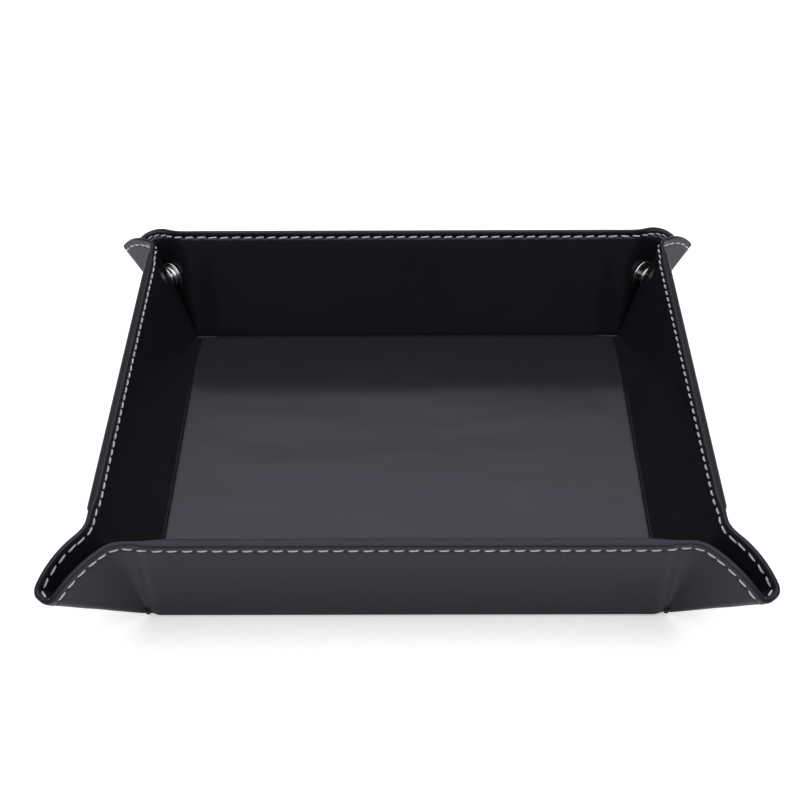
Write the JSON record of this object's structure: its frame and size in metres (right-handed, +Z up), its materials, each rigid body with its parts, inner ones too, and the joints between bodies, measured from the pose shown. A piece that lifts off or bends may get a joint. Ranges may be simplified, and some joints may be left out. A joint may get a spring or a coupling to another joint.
{
  "type": "folding dice tray",
  "caption": "Square leather dice tray with stiffened walls that fold up and are held by press studs at four pinched corner ears; unsnaps and folds flat.",
  "frame": {"origin": "middle of the tray's underside, on the surface that it stands on", "axes": "+Z up, square to the floor of the tray; +Y towards the rear wall, +X towards the right wall"},
  "size_m": [0.2308, 0.2308, 0.0426],
  "materials": {
    "leather": "smooth black faux leather, satin",
    "lining": "smooth black faux leather lining, satin",
    "board": "grey stiffening board",
    "thread": "off-white waxed polyester thread",
    "snap": "polished nickel plate",
    "steel": "spring steel and steel washer"
  },
  "bodies": {
    "base": {"base_cover": "leather", "base_board": "board", "base_lining": "lining"},
    "front_wall": {"front_wall_cover": "leather", "front_wall_board": "board", "front_wall_lining": "lining", "front_wall_stitching": "thread"},
    "front_ear_right": {"front_ear_right_leather": "leather", "front_ear_right_socket": "snap", "front_ear_right_backing": "steel", "front_ear_right_spring": "steel"},
    "front_lip_right": {"front_ear_right_lip": "leather"},
    "front_ear_left": {"front_ear_left_leather": "leather", "front_ear_left_stud": "snap", "front_ear_left_backing": "steel"},
    "front_lip_left": {"front_ear_left_lip": "leather"},
    "right_wall": {"right_wall_cover": "leather", "right_wall_board": "board", "right_wall_lining": "lining", "right_wall_stitching": "thread"},
    "right_ear_rear": {"right_ear_rear_leather": "leather", "right_ear_rear_socket": "snap", "right_ear_rear_backing": "steel", "right_ear_rear_spring": "steel"},
    "right_lip_rear": {"right_ear_rear_lip": "leather"},
    "right_ear_front": {"right_ear_front_leather": "leather", "right_ear_front_stud": "snap", "right_ear_front_backing": "steel"},
    "right_lip_front": {"right_ear_front_lip": "leather"},
    "rear_wall": {"rear_wall_cover": "leather", "rear_wall_board": "board", "rear_wall_lining": "lining", "rear_wall_stitching": "thread"},
    "rear_ear_left": {"rear_ear_left_leather": "leather", "rear_ear_left_socket": "snap", "rear_ear_left_backing": "steel", "rear_ear_left_spring": "steel"},
    "rear_lip_left": {"rear_ear_left_lip": "leather"},
    "rear_ear_right": {"rear_ear_right_leather": "leather", "rear_ear_right_stud": "snap", "rear_ear_right_backing": "steel"},
    "rear_lip_right": {"rear_ear_right_lip": "leather"},
    "left_wall": {"left_wall_cover": "leather", "left_wall_board": "board", "left_wall_lining": "lining", "left_wall_stitching": "thread"},
    "left_ear_front": {"left_ear_front_leather": "leather", "left_ear_front_socket": "snap", "left_ear_front_backing": "steel", "left_ear_front_spring": "steel"},
    "left_lip_front": {"left_ear_front_lip": "leather"},
    "left_ear_rear": {"left_ear_rear_leather": "leather", "left_ear_rear_stud": "snap", "left_ear_rear_backing": "steel"},
    "left_lip_rear": {"left_ear_rear_lip": "leather"}
  },
  "joints": [
    {"name": "front_wall_fold", "type": "hinge", "parent": "base", "child": "front_wall", "pos_m": [0, -0.085, 0.0017], "axis": [1, 0, 0], "range_deg": [0, 69]},
    {"name": "front_ear_right_fold", "type": "hinge", "parent": "front_wall", "child": "front_ear_right", "pos_m": [0.085, -0.085, 0.0017], "axis": [0.1894, -0.3519, 0.9167], "range_deg": [0, 48.37]},
    {"name": "front_ear_right_lip_fold", "type": "hinge", "parent": "front_ear_right", "child": "front_lip_right", "pos_m": [0.085, -0.085, 0.0017], "axis": [-0.4759, 0.619, -0.6248], "range_deg": [0, 86.88]},
    {"name": "front_ear_left_fold", "type": "hinge", "parent": "front_wall", "child": "front_ear_left", "pos_m": [-0.085, -0.085, 0.0017], "axis": [0.1894, 0.3519, -0.9167], "range_deg": [0, 48.37]},
    {"name": "front_ear_left_lip_fold", "type": "hinge", "parent": "front_ear_left", "child": "front_lip_left", "pos_m": [-0.085, -0.085, 0.0017], "axis": [-0.4759, -0.619, 0.6248], "range_deg": [0, 86.88]},
    {"name": "right_wall_fold", "type": "hinge", "parent": "base", "child": "right_wall", "pos_m": [0.085, 0, 0.0017], "axis": [0, 1, 0], "range_deg": [0, 69.01]},
    {"name": "right_ear_rear_fold", "type": "hinge", "parent": "right_wall", "child": "right_ear_rear", "pos_m": [0.085, 0.085, 0.0017], "axis": [0.3519, 0.1894, 0.9167], "range_deg": [0, 48.37]},
    {"name": "right_ear_rear_lip_fold", "type": "hinge", "parent": "right_ear_rear", "child": "right_lip_rear", "pos_m": [0.085, 0.085, 0.0017], "axis": [-0.619, -0.4759, -0.6248], "range_deg": [0, 86.88]},
    {"name": "right_ear_front_fold", "type": "hinge", "parent": "right_wall", "child": "right_ear_front", "pos_m": [0.085, -0.085, 0.0017], "axis": [-0.3519, 0.1894, -0.9167], "range_deg": [0, 48.37]},
    {"name": "right_ear_front_lip_fold", "type": "hinge", "parent": "right_ear_front", "child": "right_lip_front", "pos_m": [0.085, -0.085, 0.0017], "axis": [0.619, -0.4759, 0.6248], "range_deg": [0, 86.88]},
    {"name": "rear_wall_fold", "type": "hinge", "parent": "base", "child": "rear_wall", "pos_m": [0, 0.085, 0.0017], "axis": [-1, 0, 0], "range_deg": [0, 69.01]},
    {"name": "rear_ear_left_fold", "type": "hinge", "parent": "rear_wall", "child": "rear_ear_left", "pos_m": [-0.085, 0.085, 0.0017], "axis": [-0.1894, 0.3519, 0.9167], "range_deg": [0, 48.37]},
    {"name": "rear_ear_left_lip_fold", "type": "hinge", "parent": "rear_ear_left", "child": "rear_lip_left", "pos_m": [-0.085, 0.085, 0.0017], "axis": [0.4759, -0.619, -0.6248], "range_deg": [0, 86.88]},
    {"name": "rear_ear_right_fold", "type": "hinge", "parent": "rear_wall", "child": "rear_ear_right", "pos_m": [0.085, 0.085, 0.0017], "axis": [-0.1894, -0.3519, -0.9167], "range_deg": [0, 48.37]},
    {"name": "rear_ear_right_lip_fold", "type": "hinge", "parent": "rear_ear_right", "child": "rear_lip_right", "pos_m": [0.085, 0.085, 0.0017], "axis": [0.4759, 0.619, 0.6248], "range_deg": [0, 86.88]},
    {"name": "left_wall_fold", "type": "hinge", "parent": "base", "child": "left_wall", "pos_m": [-0.085, 0, 0.0017], "axis": [0, -1, 0], "range_deg": [0, 69.01]},
    {"name": "left_ear_front_fold", "type": "hinge", "parent": "left_wall", "child": "left_ear_front", "pos_m": [-0.085, -0.085, 0.0017], "axis": [-0.3519, -0.1894, 0.9167], "range_deg": [0, 48.37]},
    {"name": "left_ear_front_lip_fold", "type": "hinge", "parent": "left_ear_front", "child": "left_lip_front", "pos_m": [-0.085, -0.085, 0.0017], "axis": [0.619, 0.4759, -0.6248], "range_deg": [0, 86.88]},
    {"name": "left_ear_rear_fold", "type": "hinge", "parent": "left_wall", "child": "left_ear_rear", "pos_m": [-0.085, 0.085, 0.0017], "axis": [0.3519, -0.1894, -0.9167], "range_deg": [0, 48.37]},
    {"name": "left_ear_rear_lip_fold", "type": "hinge", "parent": "left_ear_rear", "child": "left_lip_rear", "pos_m": [-0.085, 0.085, 0.0017], "axis": [-0.619, 0.4759, 0.6248], "range_deg": [0, 86.88]}
  ],
  "couplings": [
    {"joint": "front_ear_right_fold", "follows": "front_wall_fold", "ratio": 0.70077},
    {"joint": "front_ear_right_lip_fold", "follows": "front_wall_fold", "ratio": 1.2589},
    {"joint": "front_ear_left_fold", "follows": "front_wall_fold", "ratio": 0.70077},
    {"joint": "front_ear_left_lip_fold", "follows": "front_wall_fold", "ratio": 1.2589},
    {"joint": "right_wall_fold", "follows": "front_wall_fold", "ratio": 1},
    {"joint": "right_ear_rear_fold", "follows": "front_wall_fold", "ratio": 0.70077},
    {"joint": "right_ear_rear_lip_fold", "follows": "front_wall_fold", "ratio": 1.2589},
    {"joint": "right_ear_front_fold", "follows": "front_wall_fold", "ratio": 0.70077},
    {"joint": "right_ear_front_lip_fold", "follows": "front_wall_fold", "ratio": 1.2589},
    {"joint": "rear_wall_fold", "follows": "front_wall_fold", "ratio": 1},
    {"joint": "rear_ear_left_fold", "follows": "front_wall_fold", "ratio": 0.70077},
    {"joint": "rear_ear_left_lip_fold", "follows": "front_wall_fold", "ratio": 1.2589},
    {"joint": "rear_ear_right_fold", "follows": "front_wall_fold", "ratio": 0.70077},
    {"joint": "rear_ear_right_lip_fold", "follows": "front_wall_fold", "ratio": 1.2589},
    {"joint": "left_wall_fold", "follows": "front_wall_fold", "ratio": 1},
    {"joint": "left_ear_front_fold", "follows": "front_wall_fold", "ratio": 0.70077},
    {"joint": "left_ear_front_lip_fold", "follows": "front_wall_fold", "ratio": 1.2589},
    {"joint": "left_ear_rear_fold", "follows": "front_wall_fold", "ratio": 0.70077},
    {"joint": "left_ear_rear_lip_fold", "follows": "front_wall_fold", "ratio": 1.2589}
  ]
}
